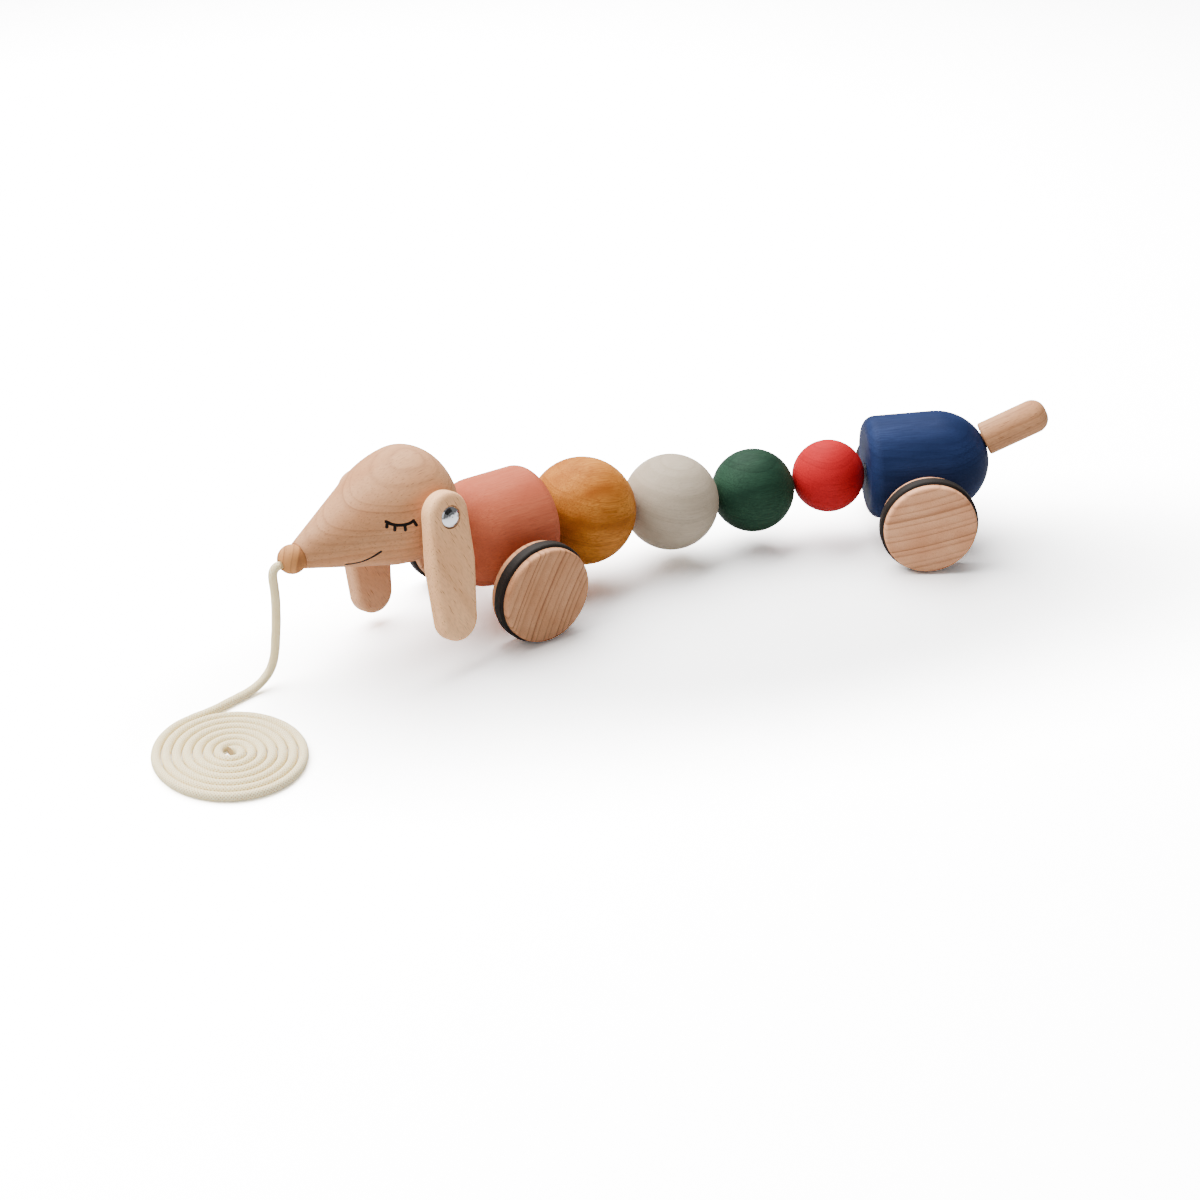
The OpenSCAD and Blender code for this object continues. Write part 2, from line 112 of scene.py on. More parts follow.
# The last two points before the coil lie in line with the start of its outer turn
coil_dir = (coil_point(coil_nudge) - coil_point(0)).normalized()
turn_points = ([coil_point(0) - 2 * coil_lead * coil_dir, coil_point(0) - coil_lead * coil_dir]
               + [coil_point(k / points_a_turn) for k in range(coil_turns * points_a_turn + 1)])
cord_line = smooth_line(cord_points + turn_points, cord_step)
plait_sides, strands, plait_pitch, plait_depth = 20, 8, 9.5 * MM, 0.2 * MM


def put_mesh(name, mesh):
    """Adds a finished bmesh to the scene as an object."""
    data = bpy.data.meshes.new(name)
    mesh.to_mesh(data)
    mesh.free()
    return put(name, data)


def plaited_tube(name, line, thickness):
    """Tube round a line whose skin has the over-and-under relief of a plait."""
    mesh = bmesh.new()
    uv = mesh.loops.layers.uv.new("plait")
    side = Vector((0.42, -0.91, 0)).normalized()  # where the first ring of points begins
    rings, run = [], 0.0
    for i, at in enumerate(line):
        ahead = (line[min(i + 1, len(line) - 1)] - line[max(i - 1, 0)]).normalized()
        side = (side - ahead * side.dot(ahead)).normalized()
        up = ahead.cross(side)
        if i:
            run += (at - line[i - 1]).length
        ring = []
        for k in range(plait_sides):
            angle = 2 * pi * k / plait_sides
            left = sin(strands / 2 * (angle + 2 * pi * run / plait_pitch))
            right = sin(strands / 2 * (angle - 2 * pi * run / plait_pitch))
            reach = thickness / 2 + plait_depth * (max(abs(left), abs(right)) - 1)
            ring.append(mesh.verts.new(at + reach * (cos(angle) * side + sin(angle) * up)))
        rings.append((ring, run))
    for (low, u0), (high, u1) in zip(rings, rings[1:]):
        for k in range(plait_sides):
            n = (k + 1) % plait_sides
            face = mesh.faces.new((low[k], low[n], high[n], high[k]))
            face.smooth = True
            for loop, u, v in zip(face.loops, (k, k + 1, k + 1, k), (u0, u0, u1, u1)):
                loop[uv].uv = (u / plait_sides, v / MM)
    for (ring, run), turn in ((rings[0], -1), (rings[-1], 1)):
        mesh.faces.new(ring[::turn]).smooth = False
    bmesh.ops.recalc_face_normals(mesh, faces=mesh.faces[:])
    return put_mesh(name, mesh)


pull_cord = plaited_tube("plaited_cord", cord_line, cord_d)


def linear(hex_colour):
    """sRGB hex value as a linear colour."""
    parts = [int(hex_colour[i:i + 2], 16) / 255 for i in (1, 3, 5)]
    return tuple(c / 12.92 if c <= 0.04045 else ((c + 0.055) / 1.055) ** 2.4 for c in parts) + (1,)


def add(tree, kind, inputs=None, **settings):
    """Adds one node, makes its settings, and gives its inputs a value or a link."""
    made = tree.nodes.new("ShaderNode" + kind)
    for key, value in settings.items():
        setattr(made, key, value)
    for key, value in (inputs or {}).items():
        if isinstance(value, bpy.types.NodeSocket):
            tree.links.new(value, made.inputs[key])
        else:
            made.inputs[key].default_value = value
    return made


def new_material(name):
    """An empty material with its shader and output."""
    material = bpy.data.materials.new(name)
    material.use_nodes = True
    tree = material.node_tree
    tree.nodes.clear()
    shader = add(tree, "BsdfPrincipled")
    add(tree, "OutputMaterial", {"Surface": shader.outputs["BSDF"]})
    return material, tree, shader


def dress(material, *nodes):
    """Gives carried-over nodes their finish."""
    for name in nodes:
        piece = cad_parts[name]
        piece.data.materials.clear()
        piece.data.materials.append(material)


def cotton_plait():
    """Undyed cotton: matt, warm off-white, with soft plaited strands of fine yarn and painted
    shade in the plait's valleys.
    """
    girth = 10.4  # millimetres round the cord, so that its yarn is as fine round as along
    material, tree, shader = new_material("plaited_cotton")
    uv = add(tree, "UVMap", uv_map="plait")
    spread = add(tree, "Mapping", {"Vector": uv.outputs["UV"], "Scale": (girth, 1, 1)})
    place = add(tree, "SeparateXYZ", {"Vector": uv.outputs["UV"]})
    around = add(tree, "Math", {0: place.outputs["X"], 1: pi * strands}, operation="MULTIPLY")
    along = add(tree, "Math", {0: place.outputs["Y"], 1: pi * strands * MM / plait_pitch},
                operation="MULTIPLY")
    strand = []
    for way in ("ADD", "SUBTRACT"):
        wave = add(tree, "Math", {0: around.outputs["Value"], 1: along.outputs["Value"]},
                   operation=way)
        wave = add(tree, "Math", {0: wave.outputs["Value"]}, operation="SINE")
        strand.append(add(tree, "Math", {0: wave.outputs["Value"]}, operation="ABSOLUTE"))
    crest = add(tree, "Math", {0: strand[0].outputs["Value"], 1: strand[1].outputs["Value"]},
                operation="MAXIMUM")
    # Painted shade: the colour darkens towards #c09e6a in the valleys between the strands.
    painted_valley_shade = add(tree, "MapRange", {"Value": crest.outputs["Value"], "From Min": 0.4,
                                    "From Max": 0.85, "To Min": 0.85, "To Max": 0})
    yarn = add(tree, "TexNoise", {"Vector": spread.outputs["Vector"], "Scale": 1.4, "Detail": 4})
    cloud = add(tree, "TexNoise", {"Vector": spread.outputs["Vector"], "Scale": 0.12, "Detail": 2})
    soft = add(tree, "MapRange", {"Value": cloud.outputs["Fac"], "From Min": 0.3, "From Max": 0.8,
                                  "To Max": 0.5})
    patch = add(tree, "MapRange", {"Value": yarn.outputs["Fac"], "From Min": 0.38,
                                   "From Max": 0.62})
    cream = add(tree, "MixRGB", {"Fac": patch.outputs["Result"], "Color1": linear("#efd6a0"),
                                 "Color2": linear("#fff8d2")})
    for share, colour in ((soft, "#fff0bc"), (painted_valley_shade, "#c09e6a")):
        cream = add(tree, "MixRGB", {"Fac": share.outputs["Result"],
                                     "Color1": cream.outputs["Color"], "Color2": linear(colour)})
    bump = add(tree, "Bump", {"Height": yarn.outputs["Fac"], "Strength": 0.35,
                              "Distance": 0.00015})
    tree.links.new(cream.outputs["Color"], shader.inputs["Base Color"])
    tree.links.new(bump.outputs["Normal"], shader.inputs["Normal"])
    shader.inputs["Roughness"].default_value = 0.9
    shader.inputs["Sheen Weight"].default_value = 0.1
    shader.inputs["Specular IOR Level"].default_value = 0.2
    return material


cotton = cotton_plait()
pull_cord.data.materials.append(cotton)
dress(cotton, "pull_cord_knot")
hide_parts("pull_cord", "pull_cord_coil")
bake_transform(pull_cord)


# Natural beech
# Pale pinkish-brown European beech, sanded and oiled, never lacquered. Its yearly rings are
# thin darker lines, and its rays are short dark flecks along the grain.
beech = ("#c8966d", "#b98158", "#7d4e30")


def timber(name, along, heart, colours, ring=4.0, line=0.6, fleck=0.5, streak=0.5, rough=0.68,
           gloss=0.18, sway=7.0, uneven=2.4):
    """Wood cut from a log whose middle line runs through heart in the direction along.

    Lengths are in millimetres: ring is the usual width of a year's growth, and sway is how
    far the rings wander. line, fleck and streak say how strong rings, rays and fibres are.
    """
    material, tree, shader = new_material(name)
    pale, mid, dark = (linear(c) for c in colours)
    turn = Vector(along).to_track_quat("Z", "Y").to_euler()
    place = add(tree, "TexCoord")
    log = add(tree, "Mapping", {"Vector": place.outputs["Object"], "Location": Vector(heart) * MM,
                                "Rotation": turn, "Scale": (MM, MM, MM)}, vector_type="TEXTURE")
    point = log.outputs["Vector"]

    # Years: the distance from the log's middle, bent a little and unevenly spaced
    slow = add(tree, "Mapping", {"Vector": point, "Scale": (0.035, 0.035, 0.012)})
    wander = add(tree, "TexNoise", {"Vector": slow.outputs["Vector"], "Scale": 1, "Detail": 1})
    push = add(tree, "VectorMath", {0: wander.outputs["Color"], 1: (0.5, 0.5, 0.5)},
               operation="SUBTRACT")
    wave = add(tree, "VectorMath", {0: push.outputs["Vector"], "Scale": sway}, operation="SCALE")
    bent = add(tree, "VectorMath", {0: point, 1: wave.outputs["Vector"]}, operation="ADD")
    flat = add(tree, "VectorMath", {0: bent.outputs["Vector"], 1: (1, 1, 0)},
               operation="MULTIPLY")
    reach = add(tree, "VectorMath", {0: flat.outputs["Vector"]}, operation="LENGTH")
    pace = add(tree, "TexNoise", {"W": reach.outputs["Value"], "Scale": 0.21, "Detail": 0},
               noise_dimensions="1D")
    years = add(tree, "Math", {0: reach.outputs["Value"], 1: 1 / ring}, operation="MULTIPLY")
    years = add(tree, "Math", {0: pace.outputs["Fac"], 1: uneven, 2: years.outputs["Value"]},
                operation="MULTIPLY_ADD")

    # Rings: each year darkens slowly and ends in a thin line, some years more than others
    season = add(tree, "Math", {0: years.outputs["Value"]}, operation="FRACT")
    late = add(tree, "ValToRGB", {"Fac": season.outputs["Value"]})
    ramp = late.color_ramp
    ramp.elements[0].position, ramp.elements[0].color = 0.0, (0.35, 0.35, 0.35, 1)
    ramp.elements[1].position, ramp.elements[1].color = 1.0, (0.45, 0.45, 0.45, 1)
    for spot, value in ((0.08, 0.04), (0.5, 0.12), (0.78, 0.45), (0.93, 1.0)):
        ramp.elements.new(spot).color = (value, value, value, 1)
    year = add(tree, "Math", {0: years.outputs["Value"]}, operation="FLOOR")
    mood = add(tree, "TexWhiteNoise", {"W": year.outputs["Value"]}, noise_dimensions="1D")
    weight = add(tree, "MapRange", {"Value": mood.outputs["Value"], "To Min": 0.4 * line,
                                    "To Max": line})
    rings = add(tree, "Math", {0: late.outputs["Color"], 1: weight.outputs["Result"]},
                operation="MULTIPLY")

    # Fibres run long and thin, and paler or darker clouds lie under them
    fibre_place = add(tree, "Mapping", {"Vector": point, "Scale": (2.2, 2.2, 0.11)})
    fibre = add(tree, "TexNoise", {"Vector": fibre_place.outputs["Vector"], "Scale": 1,
                                   "Detail": 3})
    vein = add(tree, "MapRange", {"Value": fibre.outputs["Fac"], "From Min": 0.35,
                                  "From Max": 0.75, "To Min": 0, "To Max": streak})
    cloud_place = add(tree, "Mapping", {"Vector": point, "Scale": (0.09, 0.09, 0.03)})
    cloud = add(tree, "TexNoise", {"Vector": cloud_place.outputs["Vector"], "Scale": 1,
                                   "Detail": 2})
    tone = add(tree, "MapRange", {"Value": cloud.outputs["Fac"], "From Min": 0.3,
                                  "From Max": 0.7})

    # Rays: short dark dashes in three cells out of four. They are drawn coarser than
    # real ones, which would be too fine to see.
    ray_place = add(tree, "Mapping", {"Vector": point, "Scale": (1.6, 1.6, 0.12)})
    ray = add(tree, "TexVoronoi", {"Vector": ray_place.outputs["Vector"], "Scale": 1})
    dash = add(tree, "MapRange", {"Value": ray.outputs["Distance"], "From Min": 0.1,
                                  "From Max": 0.26, "To Min": 1, "To Max": 0})
    lot = add(tree, "SeparateColor", {"Color": ray.outputs["Color"]})
    some = add(tree, "Math", {0: lot.outputs["Red"], 1: 0.25}, operation="GREATER_THAN")
    rays = add(tree, "Math", {0: dash.outputs["Result"], 1: some.outputs["Value"]},
               operation="MULTIPLY")
    rays = add(tree, "Math", {0: rays.outputs["Value"], 1: fleck}, operation="MULTIPLY")

    # Pores: a fine dark grain over everything
    pore_place = add(tree, "Mapping", {"Vector": point, "Scale": (1.9, 1.9, 0.5)})
    pore = add(tree, "TexNoise", {"Vector": pore_place.outputs["Vector"], "Scale": 1,
                                  "Detail": 2})
    pores = add(tree, "MapRange", {"Value": pore.outputs["Fac"], "From Min": 0.45,
                                   "From Max": 0.7, "To Min": 0, "To Max": 0.28 * fleck})

    ground = add(tree, "MixRGB", {"Fac": tone.outputs["Result"], "Color1": pale, "Color2": mid})
    for share, colour in ((vein.outputs["Result"], mid), (rings.outputs["Value"], dark),
                          (rays.outputs["Value"], dark), (pores.outputs["Result"], dark)):
        ground = add(tree, "MixRGB", {"Fac": share, "Color1": ground.outputs["Color"],
                                      "Color2": colour})
    sheen = add(tree, "MapRange", {"Value": fibre.outputs["Fac"], "To Min": rough - 0.08,
                                   "To Max": rough + 0.1})
    bump = add(tree, "Bump", {"Height": fibre.outputs["Fac"], "Strength": 0.12,
                              "Distance": 0.0001})
    tree.links.new(ground.outputs["Color"], shader.inputs["Base Color"])
    tree.links.new(sheen.outputs["Result"], shader.inputs["Roughness"])
    tree.links.new(bump.outputs["Normal"], shader.inputs["Normal"])
    shader.inputs["Specular IOR Level"].default_value = gloss
    return material


# Head
# Turned from one blank: a round skull that draws out into a long straight muzzle.
# It sits on a hidden dowel and its sides have small flats for the ear washers.
skull_r, skull_back, skull_front = 22.5, 17.7, 34.0
muzzle_len, muzzle_tip_r, muzzle_cut = 55.0, 4.0, 52.0
lip_len, lip_ease = 0.5, ((0.12, 0.15), (0.32, 0))
nose_r, nose_room = 5.6, 0.02
knot_room_r, knot_room_x = 3.6, 42.8
ear_x, seat_y, seat_r, pin_hole_r, pin_hole_y = 3.1, 21.6, 6.5, 2.0, 10.0
neck_hole_r, neck_hole_from, neck_slope = 4.1, 7.4, radians(41)
out_of_head = 40
head_at = Vector((-37.3485, -11.2051, 58.1914))
head_x, head_y = nose_out.normalized(), Vector((0.38428, -0.909564, 0.158188)).normalized()
head_z = head_x.cross(head_y)
head_turned = Matrix((head_x, head_y, head_z)).transposed().to_4x4()
head_frame = Matrix.Translation(head_at * MM) @ head_turned
# The straight muzzle leaves the oval skull where it touches it
meet = acos(1 / sqrt((muzzle_len / skull_front) ** 2 + (muzzle_tip_r / skull_r) ** 2))
meet += atan2(muzzle_tip_r / skull_r, muzzle_len / skull_front)
meet_x, meet_r = skull_front * cos(meet), skull_r * sin(meet)
muzzle_fall = (meet_r - muzzle_tip_r) / (muzzle_len - meet_x)
wood_crease, weld = radians(38), 0.002 * MM


def head_radius(x):
    """Radius of the head at a distance from its widest section."""
    if x > meet_x:
        return muzzle_tip_r + muzzle_fall * (muzzle_len - x)
    return skull_r * sqrt(max(0.0, 1 - (x / (skull_front if x > 0 else skull_back)) ** 2))


def facing(at, along, across=(0, 0, 1)):
    """Matrix of a lathe whose Z runs along, from at, both in millimetres."""
    z = Vector(along).normalized()
    x = (Vector(across) - z * z.dot(Vector(across))).normalized()
    return Matrix.Translation(Vector(at) * MM) @ Matrix((x, z.cross(x), z)).transposed().to_4x4()


def finish_mesh(mesh, name, matrix):
    """Places a mesh, points its faces outwards and shades it smooth up to a crease."""
    bmesh.ops.remove_doubles(mesh, verts=mesh.verts[:], dist=weld)
    bmesh.ops.recalc_face_normals(mesh, faces=mesh.faces[:])
    mesh.transform(matrix)
    piece = put_mesh(name, mesh)
    piece.data.shade_smooth()
    piece.data.set_sharp_from_angle(angle=wood_crease)
    return piece


def turned(name, profile, matrix, steps=128):
    """Turns radius and height pairs, in millimetres, round the lathe's Z."""
    mesh = bmesh.new()
    outline = [mesh.verts.new((r * MM, 0, z * MM)) for r, z in profile]
    rim = [mesh.edges.new(pair) for pair in zip(outline, outline[1:])]
    if profile[0][0] and profile[-1][0]:
        rim.append(mesh.edges.new((outline[-1], outline[0])))
    bmesh.ops.spin(mesh, geom=outline + rim, cent=(0, 0, 0), axis=(0, 0, 1), angle=2 * pi,
                   steps=steps, use_merge=True)
    return finish_mesh(mesh, name, matrix)


def drill(piece, *holes):
    """Drills round holes: lathe matrix, radius, start and end, in millimetres."""
    for matrix, r, low, high in holes:
        bit = turned("bit", [(0, low), (r, low), (r, high), (0, high)], matrix, steps=64)
        cut = piece.modifiers.new("hole", "BOOLEAN")
        cut.operation, cut.solver, cut.object = "DIFFERENCE", "EXACT", bit
        bpy.context.view_layer.update()
        drilled = piece.evaluated_get(bpy.context.evaluated_depsgraph_get())
        shaped = bpy.data.meshes.new_from_object(drilled)
        piece.modifiers.clear()
        piece.data = shaped
        shaped.name = piece.name
        bpy.data.objects.remove(bit)
    piece.data.set_sharp_from_angle(angle=wood_crease)


def arc(centre_r, centre_z, radius, start, end, count):
    """Points of a circle's arc in a lathe profile, angles in degrees."""
    angles = [radians(start + (end - start) * k / count) for k in range(count + 1)]
    return [(centre_r + radius * cos(a), centre_z + radius * sin(a)) for a in angles]


skull = [(skull_r * cos(radians(a)), skull_back * sin(radians(a))) for a in range(-88, 0, 2)]
brow_at = [meet_x * k / 24 for k in range(25)]
muzzle_at = [meet_x + (muzzle_cut - lip_len - meet_x) * k / 12 for k in range(1, 13)]
lip_r = head_radius(muzzle_cut)
profile = ([(0, -skull_back)] + skull + [(head_radius(x), x) for x in brow_at + muzzle_at]
           + [(lip_r - inwards, muzzle_cut - back) for inwards, back in lip_ease]
           + arc(0, muzzle_len, nose_r + nose_room, -34, -47, 6)
           + [(knot_room_r, knot_room_x), (0, knot_room_x)])
head = turned("turned_head", profile, head_frame @ Matrix.Rotation(pi / 2, 4, "Y"))
neck_line = facing(head_at, head_x * -cos(neck_slope) - head_z * sin(neck_slope), head_y)
pin_lines = [facing(head_at + ear_x * head_x, head_y * s, head_z) for s in (1, -1)]
drill(head, (neck_line, neck_hole_r, neck_hole_from, out_of_head),
      *[(pin_line, seat_r, seat_y, out_of_head) for pin_line in pin_lines],
      *[(pin_line, pin_hole_r, pin_hole_y, out_of_head) for pin_line in pin_lines])
head.data.materials.append(timber("head_beech", nose_out, head_at + Vector((10, 30, -95)), beech,
                                  ring=4.6, line=0.55, fleck=0.7))
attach(head, "head")
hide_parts("head")


# Nose bead, pegs and axles
# A small ball of darker beech on the muzzle's tip, and plain beech dowels: the neck and
# tail pegs are glued in, and the axles turn in the bodies.
dress(timber("nose_beech", (0.3, 0.9, 0.2), head_at, ("#cf955e", "#bf824c", "#82502e"),
             ring=3, line=0.8), "nose_bead")
dress(timber("peg_beech", nose_out, head_at, beech),
      "neck_peg", "tail_peg", "front_axle", "rear_axle")


# Face
# Sleeping eyes with four lashes and a small smile, printed on both sides in brown-black ink.
# Each stroke has a name, a width, and points as distance along the head and height round
# its side.
strokes = (
    ("eyelid", 1.2, ((22.5, 4.5), (21.3, 3.0), (19.8, 1.8), (17.9, 1.0), (16.0, 0.6),
                     (14.2, 0.6), (12.3, 1.2))),
    ("lash_1", 1.15, ((21.9, 3.6), (22.8, 1.4))),
    ("lash_2", 1.15, ((19.6, 1.8), (20.4, -0.7))),
    ("lash_3", 1.15, ((16.4, 0.7), (16.6, -2.1))),
    ("lash_4", 1.15, ((12.9, 0.9), (12.0, -1.7))),
    ("smile", 1.15, ((38, -9.9), (35.2, -10.8), (32.7, -10.8), (30.6, -10.2), (28.0, -8.9),
                     (25.5, -7.3))),
)
ink_rise, stroke_step, blunt_end = 0.06, 0.25, 0.04
# Across a stroke: places from edge to edge in half widths, and heights in ink thicknesses
ink_section = ((-1, -0.05), (-1, 0.6), (-0.5, 1), (0, 1), (0.5, 1), (1, 0.6), (1, -0.05))


def mottled(name, dark, light, scale, rough, gloss=0.5, detail=2):
    """A plain material in two close shades, which fine noise mixes."""
    material, tree, shader = new_material(name)
    place = add(tree, "TexCoord")
    noise = add(tree, "TexNoise", {"Vector": place.outputs["Object"], "Scale": scale,
                                   "Detail": detail})
    tint = add(tree, "MixRGB", {"Fac": noise.outputs["Fac"], "Color1": linear(dark),
                                "Color2": linear(light)})
    tree.links.new(tint.outputs["Color"], shader.inputs["Base Color"])
    shader.inputs["Roughness"].default_value = rough
    shader.inputs["Specular IOR Level"].default_value = gloss
    return material


# Screen ink: flat brown-black, slightly uneven where the grain took it
ink = mottled("printing_ink", "#0a0605", "#15100d", 1400, 0.6, gloss=0.1)


def on_head(x, turn, side, rise):
    """Point on the head's skin, at x, turned up from the side, standing so far proud."""
    r = head_radius(x) + rise
    return head_frame @ (Vector((x, side * r * cos(turn), r * sin(turn))) * MM)


def stroke(name, width, line, side):
    """Prints a flat line on the head's skin, with round ends."""
    line = [Vector((x, h, 0)) for x, h in line]
    if len(line) > 2:
        line = smooth_line(line, stroke_step)
    else:
        line = [line[0].lerp(line[1], k / 10) for k in range(11)]
    mesh = bmesh.new()
    rows, last, run = [], len(line) - 1, 0.0
    total = sum((b - a).length for a, b in zip(line, line[1:]))
    for k, point in enumerate(line):
        run += (point - line[k - 1]).length if k else 0.0
        ahead = (line[min(k + 1, last)] - line[max(k - 1, 0)]).normalized()
        half, edge = width / 2, min(run, total - run)
        if edge < half:
            half *= sqrt(max(blunt_end, 1 - (1 - edge / half) ** 2))
        row = []
        for offset, rise in ink_section:
            x = point.x - ahead.y * offset * half
            h = point.y + ahead.x * offset * half
            row.append(mesh.verts.new(on_head(x, h / head_radius(x), side, rise * ink_rise)))
        rows.append(row)
    for low, high in zip(rows, rows[1:]):
        for k in range(len(low)):
            n = (k + 1) % len(low)
            mesh.faces.new((low[k], low[n], high[n], high[k]))
    mesh.faces.new(rows[0])
    mesh.faces.new(rows[-1][::-1])
    piece = finish_mesh(mesh, name, Matrix.Identity(4))
    piece.data.materials.append(ink)
    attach(piece, "head")


for side, word in ((1, "left"), (-1, "right")):
    for name, width, line in strokes:
        stroke("%s_%s" % (word, name), width, line, side)


# Ears
# Flat beech slats with round ends and eased edges, wider below. Each swings on a pin
# whose head lies in a shallow recess. The far one's darker shades are painted shade.
pale_beech = ("#ffcb96", "#f0b582", "#9c6840")
# Painted shade: the far ear's beech is a darker copy of the near ear's.
far_ear_shaded_beech = ("#e0ab82", "#d29b71", "#8f5c3a")
ear_top_r, ear_mid_r, ear_tip_r = 9.0, 10.2, 8.6
ear_above, ear_below = 9.5, 49.3
ear_mid = 0.38 * ear_below
ear_inner, ear_thick, ear_ease = 23.1, 8.0, 2.4
recess_r, recess_depth, ear_hole_r, bit_from, bit_to = 4.5, 2.0, 2.2, -5, 20
ear_lean, ear_grain_lean = radians(2.5), radians(28)
swing = atan2(-head_x.z, head_z.z) + ear_lean
hang = head_x * sin(swing) - head_z * cos(swing)


def ear_outline():
    """Outline of the slat, as turns round its three discs, clockwise from the top."""
    discs = [(ear_above - ear_top_r, ear_top_r), (-ear_mid, ear_mid_r),
             (-(ear_below - ear_tip_r), ear_tip_r)]
    tilt = [asin((r1 - r0) / (y0 - y1)) for (y0, r0), (y1, r1) in zip(discs, discs[1:])]
    turns = [(pi / 2, tilt[0], 24), (tilt[0], tilt[1], 12), (tilt[1], -pi / 2, 24)]
    right = [(r * cos(a + (b - a) * k / n), y + r * sin(a + (b - a) * k / n))
             for (y, r), (a, b, n) in zip(discs, turns) for k in range(n + 1)]
    return right + [(-x, y) for x, y in right[-2:0:-1]]


def ear(name, side):
    """One slat: outline raised to its thickness, edges rounded, hole and recess drilled."""
    mesh = bmesh.new()
    plate = mesh.faces.new([mesh.verts.new((x * MM, y * MM, 0)) for x, y in ear_outline()])
    raised = bmesh.ops.extrude_face_region(mesh, geom=[plate])
    top = [v for v in raised["geom"] if isinstance(v, bmesh.types.BMVert)]
    bmesh.ops.translate(mesh, verts=top, vec=(0, 0, ear_thick * MM))
    rims = [e for e in mesh.edges if abs(e.verts[0].co.z - e.verts[1].co.z) < MM]
    bmesh.ops.bevel(mesh, geom=rims, offset=ear_ease * MM, offset_type="OFFSET", segments=6,
                    profile=0.5, affect="EDGES", material=-1)
    out = head_y * side
    place = head_at + ear_x * head_x + ear_inner * out
    upright = Matrix((-hang.cross(out), -hang, out)).transposed().to_4x4()
    piece = finish_mesh(mesh, name, Matrix.Translation(place * MM) @ upright)
    drill(piece, (facing(place, out), ear_hole_r, bit_from, bit_to),
          (facing(place, out), recess_r, ear_thick - recess_depth, bit_to))
    return piece


ear_grain = head_x * sin(ear_grain_lean) - hang * cos(ear_grain_lean)
for name, side, colours in (("left_ear", 1, pale_beech), ("right_ear", -1, far_ear_shaded_beech)):
    slat = ear(name + "_slat", side)
    heart = head_at + head_x * 4 + head_y * side * 120
    slat.data.materials.append(timber(name + "_beech", ear_grain, heart, colours, ring=7,
                                      line=0.25, fleck=0.8))
    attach(slat, name)
    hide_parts(name)


# Bodies
# Turned blanks, domed at the outer end and well rounded at the flat end, under a thin
# water stain and a satin varnish. They are drilled across for the axle, along for the
# elastic, and from below for its knot, where a stained plug closes the hole.
blank_r, face_ease = 22.0, 5.5
bore_r, bore_deep, bore_ease = 1.8, 12, 0.35
axle_hole_r, chamber_r, chamber_top, knot_beyond_axle, out_of_blank = 4.2, 4.75, 4.0, 11, 30
front_axle_at, front_middle = Vector((0, 0, 20.6)), Vector((0, 0, 35.6))
front_axle_set, front_axle_below = 20, 15
front_side = Vector((-0.287361, 0.957822, 0))
front_along = Vector((-0.957822, -0.287361, 0))
front_face = front_middle - front_axle_set * front_along
rear_axle_at = Vector((190.844, 1.9115, 20.6))
rear_axle_set, rear_axle_below = 21.2, 13.5
rear_side = Vector((0.300706, 0.953717, 0))
rear_rise, rear_turn = radians(4.1), radians(-17.5)
rear_along = Vector((cos(rear_rise) * cos(rear_turn), cos(rear_rise) * sin(rear_turn),
                     sin(rear_rise)))
rear_up = rear_along.cross(rear_side)
rear_face = rear_axle_at - rear_axle_set * rear_along + rear_axle_below * rear_up


def blank(name, length, dome, face, along, side, axle_set, axle_below):
    """One body: its flat face is at face and its dome points along."""
    domed = [(blank_r * cos(radians(a)), length - dome + dome * sin(radians(a)))
             for a in range(0, 90, 2)]
    outline = ([(0, bore_deep), (bore_r, bore_deep), (bore_r, bore_ease), (bore_r + bore_ease, 0)]
               + arc(blank_r - face_ease, face_ease, face_ease, -90, 0, 30)[:-1]
               + domed + [(0, length)])
    up = along.cross(side) if along.cross(side).z > 0 else side.cross(along)
    piece = turned(name, outline, facing(face, along, up), steps=160)
    axle_at = face + along * axle_set - up * axle_below
    knot_at = face + along * (axle_set + knot_beyond_axle)
    drill(piece, (facing(axle_at, side), axle_hole_r, -out_of_blank, out_of_blank),
          (facing(knot_at, -up), chamber_r, -chamber_top, out_of_blank))
    return piece


def stained(name, colours, along, heart, line=0.35):
    """Beech under thin stain: the pores take more colour, so the grain shows as streaks."""
    return timber(name, along, heart, colours, ring=3.5, line=line, fleck=0.45, streak=0.8,
                  rough=0.58, gloss=0.05)


terracotta = stained("terracotta_stain", ("#bf6a4c", "#ab553b", "#8f422c"), front_along,
                     (0, 0, -60), line=0.15)
navy = stained("navy_stain", ("#26345a", "#172343", "#0c1430"), rear_along, (190, 0, -60))
front_blank = blank("front_blank", 45.5, 20.0, front_face, front_along, front_side,
                    front_axle_set, front_axle_below)
rear_blank = blank("rear_blank", 52.8, 22.8, rear_face, rear_along, rear_side,
                   rear_axle_set, rear_axle_below)
for piece, stain, end, slot_name in ((front_blank, terracotta, "front", "terracotta_wood"),
                                     (rear_blank, navy, "rear", "navy_wood")):
    piece.data.materials.append(stain)
    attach(piece, end + "_body")
    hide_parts(end + "_body")
    dress(stain, end + "_plug")


# Beads
# Four turned balls in falling sizes, stained like the bodies. Each row has a colour, its
# shades, and the direction and middle of the log.
bead_stains = (
    ("mustard", ("#d08a3a", "#955219", "#6b370c"), (0.97, 0.2, -0.13), (40, 10, -40)),
    ("grey", ("#b9ab98", "#a99a86", "#8c7e69"), (0.99, 0.08, -0.07), (84, 17, -40)),
    ("green", ("#304e3b", "#1a3024", "#0f1e16"), (0.995, -0.06, 0.07), (121, 17, -30)),
    ("red", ("#bb2327", "#a3181d", "#7a0e12"), (0.97, -0.22, 0.09), (154, 13, -30)),
)
for colour, colours, along, heart in bead_stains:
    dress(stained(colour + "_stain", colours, along, heart), colour + "_bead")


